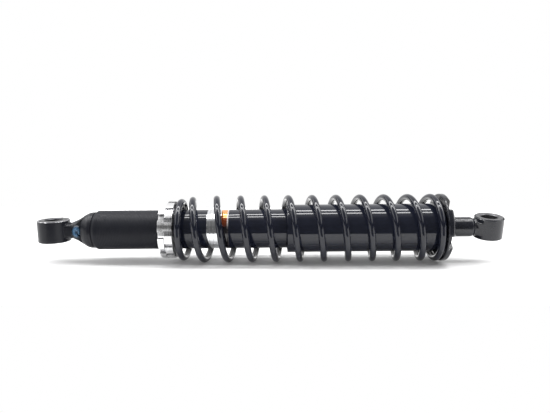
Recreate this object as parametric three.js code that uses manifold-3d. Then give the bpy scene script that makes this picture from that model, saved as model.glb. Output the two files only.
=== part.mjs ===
// Motorcycle rear shock absorber: a gas-charged damper with a coil spring over it.
// Millimetres. The origin is the centre of the upper eye. +X runs along the shock to the lower eye,
// and +Z runs up along the bore of the upper eye.

import * as THREE from 'three';
import { mergeVertices } from 'three/addons/utils/BufferGeometryUtils.js';
import Module from 'manifold-3d';

const wasm = await Module();
wasm.setup();

// ---------------------------------------------------------------- driving dimensions

const eyeToEye = 433.3;
const gap = 0.3;                       // left between pieces that rest on each other
const outerSides = 32;                 // sides of the large round pieces
const innerSides = 16;                 // sides of the small and hidden round pieces
const bushSides = 24;

// Upper eye, which is one piece with the neck and the end cap of the damper tube.
const upperEye = { radius: 15.3, halfWidth: 10.7 };
const neck = { start: 8, end: 20, halfDepth: 8, halfHeight: 6.9 };
const flatEnd = 32;                    // the neck's milled flats stop at this wall
const capRadius = 17.8;
const capEnd = 41.9;
const spigotEnd = 55;
const capGroove = { start: 48.5, end: 50.7 };

// Gas port on the front flat, with a screw in it and a dome of sealant over the screw.
const port = { x: 26, radius: 2.6, headRadius: 2.9, headHeight: 1, passageRadius: 2 };
const sealDome = { halfLength: 5, height: 2.9, halfWidth: 6.6 };

// Lower eye, turned a little about the axis of the shock, which is free to turn.
const lowerEye = { radius: 14.15, halfWidth: 10.6, turn: THREE.MathUtils.degToRad(7.5) };
const shank = { start: 389.9, radius: 10, end: 414.9, taperEnd: 417.3, taperRadius: 8.8 };
// Its neck is round, and runs into the eye through a wedge that widens towards it.
const lowerNeck = { radius: 8.5, end: 424 };
const lowerWedge = { start: 417.6, startHalf: 6.6, end: 425.5, endHalf: 11.8, halfHeight: 6.1 };

// Flanged bushes, two in each eye.
const bush = { bore: 7.9, sleeve: 9.2, flange: 12.8, flangeThickness: 1.4, proud: 0.2, sink: 1.1 };
const eyeBore = bush.sleeve + gap;
const recessRadius = bush.flange + gap;

// Damper tube.
const tube = { start: 42.2, end: 283, radius: 19.35, bore: 16, labelStart: 154.4, labelRadius: 18.5 };
const tubeChamfer = { length: 3.3, depth: 2 };
const snugRadius = tube.bore - gap;    // pieces that fit the tube's bore
const oRing = { radius: 14.95, section: 0.7, grooveFloor: 13.8 };

// The printed label: bands of foil and film round the tube, each with its start, end and finish.
const labelBands = [
  ['silver_label_band', 154.7, 168.3, 'silverFoil'],
  ['orange_label_band', 168.6, 174, 'orangeFoil'],
  ['white_label_stripe', 174.3, 175.3, 'whitePrint'],
  ['black_label_wrap', 175.6, 240, 'glossBlack'],
];

// Seal head, which closes the tube and guides the rod, and the ring that keeps it in.
const head = { start: 263, end: 278.6, lip: 0.8, bushBore: 8.5, sealStart: 272, sealBore: 11.3 };
const headGroove = { start: 267.6, end: 269.8 };
const sealSplit = 275.3;               // the oil seal ends here and the wiper begins
const retainer = { start: 279.1, end: 280.7, radius: 16.6, grooveDepth: 0.9 };

// Floating piston between the gas and the oil.
const divider = { start: 93, end: 105, cupRadius: 11, cupDepth: 6, grooveStart: 97.9, grooveEnd: 100.5 };

// Piston rod and what is on it.
const rod = { radius: 6.25, start: 238.5, shoulder: 258.5, end: 405, threadRadius: 5 };
const onRod = rod.radius + gap;
const onThread = rod.threadRadius + gap;
const piston = { start: 246.8, end: 256.8, radius: 15.2, bandStart: 249.5, bandEnd: 254, holes: 6 };

// Spring.
const spring = {
  start: 127.4,                        // wire centre at the preload collar
  end: 379.1,                          // wire centre at the lower seat
  wireRadius: 3.15,
  meanRadius: 30.3,
  firstCoilRadius: 27.2,
  turns: 11.867,
  startAngle: THREE.MathUtils.degToRad(161.1),
  closedTurns: { first: 0.31, last: 0.17 },
  openingTurns: 0.9,
  closedPitch: 2,
  flareTurns: 1.9,                     // turns over which the first coil widens to the full radius
  stepsPerTurn: 18,
  wireSides: 8,
};

// Preload collar, its lock ring and the washer that the spring turns against.
// Angles are in degrees, counted from the front (-Y) upwards.
const lockRing = {
  start: 109.4,
  end: 115.2,
  radius: 28.5,
  notchRadius: 25.8,
  notches: 10,
  firstNotch: -0.9,
  notchAngle: 12.3,
};
const lockRelief = { radius: 21.2, from: 59.1, to: 143.1 };
const collar = {
  start: 115.5,
  end: 122.9,
  radius: 28.4,
  notchRadius: 26.6,
  notches: 14,
  firstNotch: 3.5,
  notchAngle: 8,
};
const threadBore = tube.radius + gap;
const collarSpigot = { radius: 22.2, end: 126.8 };
const thrustWasher = { start: 123.2, end: 123.9, radius: 27.2 };

// Lower spring seat, dust cover and bump stop.
const seat = { start: 382.6, end: 389.6, radius: 33.3, faceRadius: 30, edge: 386.8 };
const seatTeeth = {
  start: seat.edge + 0.2,
  end: seat.end,
  radius: seat.radius,
  notchRadius: 23,
  notches: 5,
  firstNotch: -18,
  notchAngle: 24,
};
const cover = { start: 232.3, radius: 23.65, bore: 22.2, flange: 26.2, flangeThickness: 2.1 };
const bumpStop = { start: 361.3, radius: 15 };
const bumpWasher = { thickness: 1.7, radius: 17 };

// ---------------------------------------------------------------- colours

const finishes = {
  satinBlack: { color: 0x1d1d20, roughness: 0.5, metalness: 0.1 },
  glossBlack: { color: 0x0d0d10, roughness: 0.12, metalness: 0 },
  bushSteel: { color: 0x4d4d50, roughness: 0.35, metalness: 1 },
  brightMetal: { color: 0xd6d6d8, roughness: 0.2, metalness: 1 },
  steel: { color: 0xa8a8ac, roughness: 0.3, metalness: 1 },
  chrome: { color: 0xe4e6ea, roughness: 0.06, metalness: 1 },
  aluminium: { color: 0xb9babd, roughness: 0.4, metalness: 1 },
  bronze: { color: 0xa6803f, roughness: 0.4, metalness: 1 },
  rubber: { color: 0x151515, roughness: 0.8, metalness: 0 },
  bumpFoam: { color: 0xd8c24a, roughness: 0.85, metalness: 0 },
  blueSealant: { color: 0x2c6fa8, roughness: 0.35, metalness: 0 },
  silverFoil: { color: 0xdcdde0, roughness: 0.15, metalness: 1 },
  orangeFoil: { color: 0xd0702c, roughness: 0.2, metalness: 0.8 },
  whitePrint: { color: 0xd8d4d2, roughness: 0.3, metalness: 0 },
};

// ---------------------------------------------------------------- solids

function signedVolume(positions, triangles) {
  const [a, b, c] = [new THREE.Vector3(), new THREE.Vector3(), new THREE.Vector3()];
  let volume = 0;
  for (let i = 0; i < triangles.length; i += 3) {
    a.fromArray(positions, 3 * triangles[i]);
    b.fromArray(positions, 3 * triangles[i + 1]);
    c.fromArray(positions, 3 * triangles[i + 2]);
    volume += a.dot(b.cross(c)) / 6;
  }
  return volume;
}

// A manifold solid from a closed three.js geometry, with its faces turned to point outwards.
function solidFrom(geometry) {
  const bare = geometry.clone();
  bare.deleteAttribute('normal');
  bare.deleteAttribute('uv');
  const merged = mergeVertices(bare, 1e-4);
  const positions = merged.attributes.position.array;
  const corners = merged.index.array;
  const triangles = [];
  for (let i = 0; i < corners.length; i += 3) {
    const [a, b, c] = [corners[i], corners[i + 1], corners[i + 2]];
    if (a !== b && b !== c && c !== a) triangles.push(a, b, c);
  }
  if (signedVolume(positions, triangles) < 0) triangles.reverse();
  return new wasm.Manifold(new wasm.Mesh({
    numProp: 3,
    vertProperties: new Float32Array(positions),
    triVerts: new Uint32Array(triangles),
  }));
}

function geometryFrom(solid) {
  const mesh = solid.getMesh();
  const geometry = new THREE.BufferGeometry();
  geometry.setAttribute('position', new THREE.BufferAttribute(mesh.vertProperties, 3));
  geometry.setIndex(new THREE.BufferAttribute(mesh.triVerts, 1));
  geometry.computeVertexNormals();
  return geometry;
}

// A piece turned about the X axis, from an outline of [x, radius] points.
// An outline that leaves the axis is closed on itself, and makes a ring.
function turned(outline, sides = outerSides) {
  const closes = outline[0][1] > 0;
  const points = (closes ? [...outline, outline[0]] : outline)
    .map(([x, radius]) => new THREE.Vector2(radius, x));
  const geometry = new THREE.LatheGeometry(points, sides);
  geometry.rotateZ(-Math.PI / 2);
  return solidFrom(geometry);
}

// The same about the Z axis, from [z, radius] points.
function turnedUpright(outline, sides = innerSides) {
  const closes = outline[0][1] > 0;
  const points = (closes ? [...outline, outline[0]] : outline)
    .map(([z, radius]) => new THREE.Vector2(radius, z));
  const geometry = new THREE.LatheGeometry(points, sides);
  geometry.rotateX(Math.PI / 2);
  return solidFrom(geometry);
}

// A plain ring about the X axis.
function ring(start, end, innerRadius, outerRadius, sides = outerSides) {
  return turned([
    [start, innerRadius],
    [start, outerRadius],
    [end, outerRadius],
    [end, innerRadius],
  ], sides);
}

// A round bar about the X axis.
function bar(start, end, radius, sides = innerSides) {
  return turned([[start, 0], [start, radius], [end, radius], [end, 0]], sides);
}

// A ring with a round section.
function roundRing(centre, meanRadius, sectionRadius, sides = innerSides) {
  const geometry = new THREE.TorusGeometry(meanRadius, sectionRadius, 8, sides);
  geometry.rotateY(Math.PI / 2);
  geometry.translate(centre, 0, 0);
  return solidFrom(geometry);
}

// A box given by its lowest and highest corners.
function block(low, high) {
  const size = high.map((value, axis) => value - low[axis]);
  const geometry = new THREE.BoxGeometry(...size);
  geometry.translate(...low.map((value, axis) => value + size[axis] / 2));
  return solidFrom(geometry);
}

// A bar across the shock, along the Y axis.
function crossBar(x, start, end, radius) {
  const geometry = new THREE.CylinderGeometry(radius, radius, end - start, 16);
  geometry.translate(x, (start + end) / 2, 0);
  return solidFrom(geometry);
}

// A slice of a ring, from one angle to another in degrees, counted from the front (-Y) upwards.
function slice(start, end, innerRadius, outerRadius, from, to) {
  const first = THREE.MathUtils.degToRad(-90 - from);
  const last = THREE.MathUtils.degToRad(-90 - to);
  const shape = new THREE.Shape();
  shape.absarc(0, 0, outerRadius, first, last, true);
  shape.absarc(0, 0, innerRadius, last, first, false);
  const geometry = new THREE.ExtrudeGeometry(shape, {
    depth: end - start,
    bevelEnabled: false,
    curveSegments: Math.max(2, Math.ceil(Math.abs(to - from) / 12)),
  });
  geometry.rotateY(Math.PI / 2);
  geometry.translate(start, 0, 0);
  return solidFrom(geometry);
}

// Spanner notches in the rim of a ring, spaced evenly from the first one's angle.
function notched(solid, rim) {
  let cut = solid;
  for (let i = 0; i < rim.notches; i += 1) {
    const from = rim.firstNotch - rim.notchAngle / 2 + (360 / rim.notches) * i;
    cut = cut.subtract(slice(
      rim.start - 1,
      rim.end + 1,
      rim.notchRadius,
      rim.radius + 2,
      from,
      from + rim.notchAngle,
    ));
  }
  return cut;
}

// ---------------------------------------------------------------- the object

const shock = new THREE.Group();

function add(name, solid, finish, parent = shock) {
  const mesh = new THREE.Mesh(geometryFrom(solid), new THREE.MeshStandardMaterial(finishes[finish]));
  mesh.name = name;
  parent.add(mesh);
  return mesh;
}

// An eye: a short upright tube with a shallow recess in each face for the bush flanges.
function eyeRing({ radius, halfWidth }) {
  const chamfer = 0.7;
  return turnedUpright([
    [-halfWidth, 0],
    [-halfWidth, radius - chamfer],
    [chamfer - halfWidth, radius],
    [halfWidth - chamfer, radius],
    [halfWidth, radius - chamfer],
    [halfWidth, 0],
  ], outerSides);
}

function eyeBores({ halfWidth }) {
  const recess = bush.flangeThickness - bush.proud + gap;
  return turnedUpright([
    [-halfWidth - 1, 0],
    [-halfWidth - 1, recessRadius],
    [recess - halfWidth, recessRadius],
    [recess - halfWidth, eyeBore],
    [halfWidth - recess, eyeBore],
    [halfWidth - recess, recessRadius],
    [halfWidth + 1, recessRadius],
    [halfWidth + 1, 0],
  ], outerSides);
}

// The upper one of an eye's two bushes; the lower one is the same piece turned over.
function flangedBush({ halfWidth }) {
  const face = halfWidth + bush.proud;
  const underFlange = face - bush.flangeThickness;
  return turnedUpright([
    [gap / 2, bush.bore],
    [gap / 2, bush.sleeve],
    [underFlange, bush.sleeve],
    [underFlange, bush.flange],
    [face, bush.flange],
    [face, bush.bore + bush.sink],
    [face - bush.sink, bush.bore],
  ], bushSides);
}

function addBushes(prefix, eye, parent) {
  add(`${prefix}_bush_top`, flangedBush(eye), 'bushSteel', parent);
  const bottom = add(`${prefix}_bush_bottom`, flangedBush(eye), 'bushSteel', parent);
  bottom.rotation.x = Math.PI;
}

// Upper eye, neck and end cap in one piece, with the gas port drilled into them.
function buildUpperEye() {
  const cap = turned([
    [14, 0],
    [14, 7.5],
    [17.3, 7.5],
    [25.6, 10.95],
    [33.6, 15.95],
    [35.9, 17.1],
    [38.9, capRadius],
    [capEnd - 0.4, capRadius],
    [capEnd, capRadius - 0.4],
    [capEnd, snugRadius],
    [capGroove.start, snugRadius],
    [capGroove.start, oRing.grooveFloor],
    [capGroove.end, oRing.grooveFloor],
    [capGroove.end, snugRadius],
    [spigotEnd, snugRadius],
    [spigotEnd, 0],
  ]);
  const web = block(
    [neck.start, -neck.halfDepth, -neck.halfHeight],
    [neck.end, neck.halfDepth, neck.halfHeight],
  );
  let body = cap;
  for (const side of [-1, 1]) {
    const [near, far] = [neck.halfDepth, capRadius + 5].map((y) => side * y);
    body = body.subtract(block([13, Math.min(near, far), -20], [flatEnd, Math.max(near, far), 20]));
  }
  body = body.add(web).add(eyeRing(upperEye)).subtract(eyeBores(upperEye));
  body = body.subtract(crossBar(port.x, -neck.halfDepth - 1, 0, port.radius));
  body = body.subtract(bar(port.x, spigotEnd + 1, port.passageRadius, 12));
  add('upper_eye', body, 'satinBlack');
  addBushes('upper', upperEye, shock);
}

function buildGasPort() {
  const flat = -neck.halfDepth;
  const headStart = flat - gap - port.headHeight;
  const stem = crossBar(port.x, flat - gap - 0.5, -1.5, port.radius - gap);
  const head = crossBar(port.x, headStart, flat - gap, port.headRadius);
  add('gas_port_screw', head.add(stem), 'steel');

  const dome = new THREE.SphereGeometry(1, 16, 12);
  dome.scale(sealDome.halfLength, sealDome.height, sealDome.halfWidth);
  dome.translate(port.x, flat - gap, 0);
  const behind = block([0, flat - gap, -20], [40, 20, 20]);
  const recess = crossBar(port.x, headStart - gap, 0, port.headRadius + gap);
  add('gas_port_seal', solidFrom(dome).subtract(behind).subtract(recess), 'blueSealant');
}

// Damper tube: threaded for the preload rings on its left part, smooth beyond them.
function buildTube() {
  const groove = tube.bore + retainer.grooveDepth;
  const body = turned([
    [tube.start, tube.bore],
    [tube.start, tube.radius - tubeChamfer.depth],
    [tube.start + tubeChamfer.length, tube.radius],
    [tube.labelStart, tube.radius],
    [tube.labelStart, tube.labelRadius],
    [tube.end, tube.labelRadius],
    [tube.end, tube.bore],
    [retainer.end + gap, tube.bore],
    [retainer.end + gap, groove],
    [retainer.start - gap, groove],
    [retainer.start - gap, tube.bore],
  ]);
  add('damper_tube', body, 'satinBlack');
  const centre = (capGroove.start + capGroove.end) / 2;
  add('end_cap_o_ring', roundRing(centre, oRing.radius, oRing.section), 'rubber');
}

function buildLabel() {
  for (const [name, start, end, finish] of labelBands) {
    add(name, ring(start, end, tube.labelRadius + 0.2, tube.radius), finish);
  }
}

// The head that closes the tube and guides the rod.
function buildSealHead() {
  const body = turned([
    [head.start, onRod + 0.2],
    [head.start, snugRadius],
    [headGroove.start, snugRadius],
    [headGroove.start, oRing.grooveFloor],
    [headGroove.end, oRing.grooveFloor],
    [headGroove.end, snugRadius],
    [head.end, snugRadius],
    [head.end, head.sealBore],
    [head.sealStart, head.sealBore],
    [head.sealStart, head.bushBore],
    [head.start + head.lip, head.bushBore],
    [head.start + head.lip, onRod + 0.2],
  ], innerSides);
  add('seal_head', body, 'aluminium');
  const bushStart = head.start + head.lip + gap;
  const bushEnd = head.sealStart - gap;
  add('rod_guide_bush', ring(bushStart, bushEnd, onRod, head.bushBore - gap, innerSides), 'bronze');
  const sealOuter = head.sealBore - gap;
  add('oil_seal', ring(head.sealStart + gap, sealSplit, onRod, sealOuter, innerSides), 'rubber');
  add('rod_wiper', ring(sealSplit + gap, head.end - gap, onRod, sealOuter, innerSides), 'rubber');
  const grooveCentre = (headGroove.start + headGroove.end) / 2;
  add('seal_head_o_ring', roundRing(grooveCentre, oRing.radius, oRing.section), 'rubber');
  const clip = ring(retainer.start, retainer.end, 14.6, retainer.radius, innerSides);
  const mouth = slice(retainer.start - 1, retainer.end + 1, 12, 20, -15, 15);
  add('retaining_ring', clip.subtract(mouth), 'steel');
}

// Coil spring. Its ends close up over about a turn, and the pitch in between is even.
function easedTurns(turn, closedTurns) {
  const share = THREE.MathUtils.clamp((turn - closedTurns) / spring.openingTurns, 0, 1);
  const past = Math.max(0, turn - closedTurns - spring.openingTurns);
  return spring.openingTurns * (share ** 3 - share ** 4 / 2) + past;
}

class SpringLine extends THREE.Curve {
  constructor() {
    super();
    this.arcLengthDivisions = 3000;
    const { first, last } = spring.closedTurns;
    const openTurns = spring.turns - first - last - spring.openingTurns;
    this.opening = (spring.end - spring.start - spring.closedPitch * spring.turns) / openTurns;
  }

  travel(turn, closedTurns) {
    return spring.closedPitch * turn + this.opening * easedTurns(turn, closedTurns);
  }

  getPoint(share, target = new THREE.Vector3()) {
    const turn = share * spring.turns;
    const x = turn < spring.turns / 2
      ? spring.start + this.travel(turn, spring.closedTurns.first)
      : spring.end - this.travel(spring.turns - turn, spring.closedTurns.last);
    const flare = THREE.MathUtils.smoothstep(turn, 0, spring.flareTurns);
    const radius = THREE.MathUtils.lerp(spring.firstCoilRadius, spring.meanRadius, flare);
    const angle = spring.startAngle - 2 * Math.PI * turn;
    return target.set(x, -radius * Math.cos(angle), radius * Math.sin(angle));
  }
}

function buildSpring() {
  const section = new THREE.Shape();
  section.absarc(0, 0, spring.wireRadius, 0, 2 * Math.PI, false);
  const geometry = new THREE.ExtrudeGeometry(section, {
    steps: Math.round(spring.turns * spring.stepsPerTurn),
    curveSegments: spring.wireSides / 2,
    extrudePath: new SpringLine(),
    bevelEnabled: false,
  });
  add('main_spring', solidFrom(geometry), 'glossBlack');
}

// Preload rings.
function buildPreload() {
  let lock = ring(lockRing.start, lockRing.end, threadBore, lockRing.radius);
  lock = notched(lock, lockRing);
  lock = lock.subtract(slice(
    lockRing.start - 1,
    lockRing.end + 1,
    lockRelief.radius,
    lockRing.radius + 2,
    lockRelief.from,
    lockRelief.to,
  ));
  add('lock_ring', lock, 'brightMetal');

  let adjuster = ring(collar.start, collar.end, threadBore, collar.radius);
  adjuster = notched(adjuster, collar);
  adjuster = adjuster.add(ring(collar.start + 1, collarSpigot.end, threadBore, collarSpigot.radius));
  add('preload_collar', adjuster, 'brightMetal');

  const washerBore = collarSpigot.radius + gap;
  add('thrust_washer', ring(thrustWasher.start, thrustWasher.end, washerBore, thrustWasher.radius), 'steel');
}

// Floating piston between the gas and the oil.
function buildFloatingPiston() {
  const body = turned([
    [divider.start + divider.cupDepth, 0],
    [divider.start + divider.cupDepth, divider.cupRadius],
    [divider.start, divider.cupRadius],
    [divider.start, snugRadius],
    [divider.grooveStart, snugRadius],
    [divider.grooveStart, oRing.grooveFloor],
    [divider.grooveEnd, oRing.grooveFloor],
    [divider.grooveEnd, snugRadius],
    [divider.end, snugRadius],
    [divider.end, 0],
  ], innerSides);
  add('floating_piston', body, 'aluminium');
  const centre = (divider.grooveStart + divider.grooveEnd) / 2;
  add('floating_piston_o_ring', roundRing(centre, oRing.radius, oRing.section), 'rubber');
}

// Lower seat group: it slides along the damper with the rod.
function buildSeat() {
  const shape = turned([
    [seat.start, onRod],
    [seat.start, seat.radius - 0.8],
    [seat.start + 0.8, seat.radius],
    [seat.edge, seat.radius],
    [seat.end, seat.faceRadius],
    [seat.end, onRod],
  ]);
  add('lower_spring_seat', notched(shape, seatTeeth), 'satinBlack');

  const coverEnd = seat.start - gap;
  add('dust_cover', turned([
    [cover.start, cover.bore],
    [cover.start, cover.radius],
    [coverEnd - cover.flangeThickness, cover.radius],
    [coverEnd - cover.flangeThickness, cover.flange],
    [coverEnd, cover.flange],
    [coverEnd, cover.bore],
  ]), 'glossBlack');

  const waist = (bumpStop.start + coverEnd) / 2;
  add('bump_stop', turned([
    [bumpStop.start, onRod],
    [bumpStop.start, bumpStop.radius - 2],
    [bumpStop.start + 4, bumpStop.radius],
    [waist - 2, bumpStop.radius],
    [waist, bumpStop.radius - 3],
    [waist + 2, bumpStop.radius],
    [coverEnd, bumpStop.radius],
    [coverEnd, onRod],
  ], innerSides), 'bumpFoam');
  const washerEnd = bumpStop.start - gap;
  const washerStart = washerEnd - bumpWasher.thickness;
  add('bump_stop_washer', ring(washerStart, washerEnd, onRod, bumpWasher.radius, innerSides), 'steel');
}

// Rod, piston and lower eye.
function buildRod() {
  const seatFace = shank.start - 0.4;
  add('piston_rod', turned([
    [rod.start, 0],
    [rod.start, rod.threadRadius],
    [rod.shoulder, rod.threadRadius],
    [rod.shoulder, rod.radius],
    [seatFace, rod.radius],
    [seatFace, rod.threadRadius],
    [rod.end, rod.threadRadius],
    [rod.end, 0],
  ], innerSides), 'chrome');

  let body = turned([
    [piston.start, onThread],
    [piston.start, piston.radius],
    [piston.bandStart, piston.radius],
    [piston.bandStart, 14.2],
    [piston.bandEnd, 14.2],
    [piston.bandEnd, piston.radius],
    [piston.end, piston.radius],
    [piston.end, onThread],
  ], innerSides);
  const flowHole = bar(piston.start - 1, piston.end + 1, 1.4, 8);
  for (let i = 0; i < piston.holes; i += 1) {
    const angle = (2 * Math.PI * i) / piston.holes;
    body = body.subtract(flowHole.translate([0, 9.5 * Math.cos(angle), 9.5 * Math.sin(angle)]));
  }
  add('piston', body, 'steel');
  const bandStart = piston.bandStart + gap;
  add('piston_band', ring(bandStart, piston.bandEnd - gap, 14.5, snugRadius, innerSides), 'bronze');

  const shims = 1.2;
  const shimRadius = 12;
  const left = piston.start - gap;
  const right = piston.end + gap;
  add('compression_shims', ring(left - shims, left, onThread, shimRadius, innerSides), 'steel');
  add('rebound_shims', ring(right, right + shims, onThread, shimRadius, innerSides), 'steel');
  const nutEnd = left - shims - gap;
  add('piston_nut', bar(nutEnd - 5, nutEnd, 8.4, 6).subtract(bar(0, 300, onThread)), 'steel');
  add('top_out_bumper', ring(rod.shoulder + gap, head.start - gap, onRod, shimRadius, innerSides), 'rubber');
}

function buildLowerEye() {
  const turnedGroup = new THREE.Group();
  turnedGroup.position.x = eyeToEye;
  turnedGroup.rotation.x = lowerEye.turn;
  shock.add(turnedGroup);

  const arm = turned([
    [shank.start, 0],
    [shank.start, shank.radius],
    [shank.end, shank.radius],
    [shank.taperEnd, shank.taperRadius],
    [shank.taperEnd, 0],
  ]).translate([-eyeToEye, 0, 0]);
  const middle = bar(shank.end, lowerNeck.end, lowerNeck.radius).translate([-eyeToEye, 0, 0]);
  const outline = new THREE.Shape([
    new THREE.Vector2(lowerWedge.start - eyeToEye, -lowerWedge.startHalf),
    new THREE.Vector2(lowerWedge.end - eyeToEye, -lowerWedge.endHalf),
    new THREE.Vector2(lowerWedge.end - eyeToEye, lowerWedge.endHalf),
    new THREE.Vector2(lowerWedge.start - eyeToEye, lowerWedge.startHalf),
  ]);
  const depth = 2 * lowerWedge.halfHeight;
  const wedgeGeometry = new THREE.ExtrudeGeometry(outline, { depth, bevelEnabled: false });
  wedgeGeometry.translate(0, 0, -lowerWedge.halfHeight);
  const wedge = solidFrom(wedgeGeometry);
  const rodHole = bar(shank.start - 1, rod.end + 1, onThread).translate([-eyeToEye, 0, 0]);
  let body = arm.add(middle).add(wedge).add(eyeRing(lowerEye));
  body = body.subtract(eyeBores(lowerEye)).subtract(rodHole);
  add('lower_eye', body, 'satinBlack', turnedGroup);
  addBushes('lower', lowerEye, turnedGroup);
}

buildUpperEye();
buildGasPort();
buildTube();
buildLabel();
buildSealHead();
buildSpring();
buildPreload();
buildFloatingPiston();
buildSeat();
buildRod();
buildLowerEye();

export default shock;
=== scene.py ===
"""Looks for a motorcycle rear shock absorber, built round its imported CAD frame.

Lengths in the shape sections are in millimetres and are turned into metres by MM. The frame is the CAD
model's: +X runs along the shock from the upper eye to the lower one, +Z is up, and the front is -Y.
"""

import math

import bmesh
import bpy
from mathutils import Matrix, Vector, noise


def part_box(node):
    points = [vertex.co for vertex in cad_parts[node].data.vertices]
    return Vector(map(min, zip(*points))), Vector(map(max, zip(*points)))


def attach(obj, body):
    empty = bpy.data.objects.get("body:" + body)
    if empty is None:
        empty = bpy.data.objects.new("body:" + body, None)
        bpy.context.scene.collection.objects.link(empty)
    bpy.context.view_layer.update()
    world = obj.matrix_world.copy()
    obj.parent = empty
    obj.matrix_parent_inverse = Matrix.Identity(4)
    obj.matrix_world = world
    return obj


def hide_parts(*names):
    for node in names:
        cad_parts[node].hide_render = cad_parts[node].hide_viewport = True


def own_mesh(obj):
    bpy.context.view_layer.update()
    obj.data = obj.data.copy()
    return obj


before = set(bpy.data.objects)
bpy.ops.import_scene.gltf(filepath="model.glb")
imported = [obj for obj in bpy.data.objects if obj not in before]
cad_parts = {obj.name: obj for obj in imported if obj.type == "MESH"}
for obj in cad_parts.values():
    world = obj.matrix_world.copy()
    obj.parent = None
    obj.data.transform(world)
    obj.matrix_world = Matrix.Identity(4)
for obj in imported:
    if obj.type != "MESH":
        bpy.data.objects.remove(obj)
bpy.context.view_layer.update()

MM = 0.001


# ---------------------------------------------------------------- sizes that the frame gives

def span(node, axis=0):
    """Lowest and highest value of a CAD node along one axis, in millimetres."""
    low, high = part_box(node)
    return low[axis] / MM, high[axis] / MM


TUBE_START, TUBE_END = span("damper_tube")
TUBE_RADIUS = span("damper_tube", 1)[1]
LOCK_START, LOCK_END = span("lock_ring")
COLLAR_START, SPIGOT_END = span("preload_collar")
WASHER_START, WASHER_END = span("thrust_washer")
COVER_START, COVER_END = span("dust_cover")
SEAT_START, SEAT_END = span("lower_spring_seat")
SEAT_RADIUS = span("lower_spring_seat", 1)[1]
SPRING_LOW, SPRING_HIGH = span("main_spring")
LOWER_EYE_X = sum(span("lower_bush_top")) / 2


# ---------------------------------------------------------------- materials

NECK_X = 18                           # the narrowest place of the upper eye's neck
LACQUER_SHADE_LOW, LACQUER_SHADE_HIGH = -9.3, -10.9    # y of the sealing lacquer's hollows and of its top, where its painted shade is darkest and palest
PRINT_COLUMNS = (157.4, 160.9)        # x of the silver band's two columns of dashes
DASH_PITCH, DASH_HALF_WIDTH = 1.35, 0.45

# Where the label's print ends or fades, and where the orange is painted lighter towards the top as a painted
# highlight, in turns from the front of the shock upwards.
PRINT_FROM = -0.12
ORANGE_FADE = (0.035, 0.115)
ORANGE_PAINTED_HIGHLIGHT = (0.10, 0.19)
WHITE_FADE = (0.02, 0.11)


class Nodes:
    """A material's node tree, with short ways to add the nodes used here."""

    def __init__(self, name):
        self.material = bpy.data.materials.new(name)
        self.material.use_nodes = True
        self.tree = self.material.node_tree
        self.shader = self.tree.nodes["Principled BSDF"]
        self.place = self.tree.nodes.new("ShaderNodeTexCoord").outputs["Object"]

    def add(self, kind, inputs=None, **settings):
        node = self.tree.nodes.new(kind)
        for key, value in settings.items():
            setattr(node, key, value)
        for key, value in (inputs or {}).items():
            if isinstance(value, bpy.types.NodeSocket):
                self.tree.links.new(value, node.inputs[key])
            else:
                node.inputs[key].default_value = value
        return node

    def set(self, **values):
        """Sets the shader's sockets, whose names have underscores for spaces here."""
        for key, value in values.items():
            socket = self.shader.inputs[key.replace("_", " ")]
            if isinstance(value, bpy.types.NodeSocket):
                self.tree.links.new(value, socket)
            else:
                socket.default_value = value

    def math(self, operation, first, second=0.0, third=0.0):
        inputs = {0: first, 1: second, 2: third}
        return self.add("ShaderNodeMath", inputs, operation=operation).outputs[0]

    def noise(self, size, detail=3.0, place=None, roughness=0.5):
        """Noise from 0 to 1 whose blots are about size millimetres across."""
        inputs = {"Vector": place or self.place, "Scale": 1 / (size * MM), "Detail": detail}
        inputs["Roughness"] = roughness
        return self.add("ShaderNodeTexNoise", inputs).outputs["Fac"]

    def between(self, value, low, high, from_low=0.0, from_high=1.0, smooth=False):
        """value, from from_low to from_high, spread over low to high."""
        inputs = {"Value": value, "From Min": from_low, "From Max": from_high, "To Min": low, "To Max": high}
        kind = "SMOOTHSTEP" if smooth else "LINEAR"
        return self.add("ShaderNodeMapRange", inputs, interpolation_type=kind).outputs["Result"]

    def mix(self, share, first, second):
        """A colour between two colours."""
        node = self.add("ShaderNodeMix", data_type="RGBA")
        for socket, value in zip((node.inputs[0], node.inputs[6], node.inputs[7]), (share, first, second)):
            if isinstance(value, bpy.types.NodeSocket):
                self.tree.links.new(value, socket)
            else:
                socket.default_value = value
        return node.outputs[2]

    def bump(self, height, distance, under=None):
        """A bump whose full height is distance millimetres, added to the one under it."""
        inputs = {"Height": height, "Distance": distance * MM, "Strength": 1.0}
        if under is not None:
            inputs["Normal"] = under
        return self.add("ShaderNodeBump", inputs).outputs["Normal"]

    def axes(self):
        """The x, y and z of a place, as separate sockets, in metres."""
        split = self.add("ShaderNodeSeparateXYZ", {0: self.place})
        return split.outputs["X"], split.outputs["Y"], split.outputs["Z"]

    def distance_from(self, first, second):
        """The distance of a place from an axis, from the two coordinates across it."""
        squares = self.math("MULTIPLY_ADD", first, first, self.math("MULTIPLY", second, second))
        return self.math("SQRT", squares)


def grey(value, blue=0.0):
    """A colour of that brightness, bluer as blue goes from 0 to 1."""
    return (value * (1 - 0.28 * blue), value * (1 - 0.1 * blue), value * (1 + 0.85 * blue), 1)


def satin_black(name, base=0.016, shine=0.42, grain=0.035, peel_size=0.55, level=0.22):
    """Powder coat: nearly black, with a fine orange peel that breaks up its shine."""
    m = Nodes(name)
    cloud = m.noise(9, 4)
    peel = m.noise(peel_size, 2)
    m.set(
        Base_Color=m.mix(cloud, grey(base * 0.85, 0.4), grey(base * 1.2, 0.4)),
        Roughness=m.between(cloud, shine - 0.05, shine + 0.06),
        Specular_IOR_Level=level,
        Normal=m.bump(peel, grain),
    )
    return m.material


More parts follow.
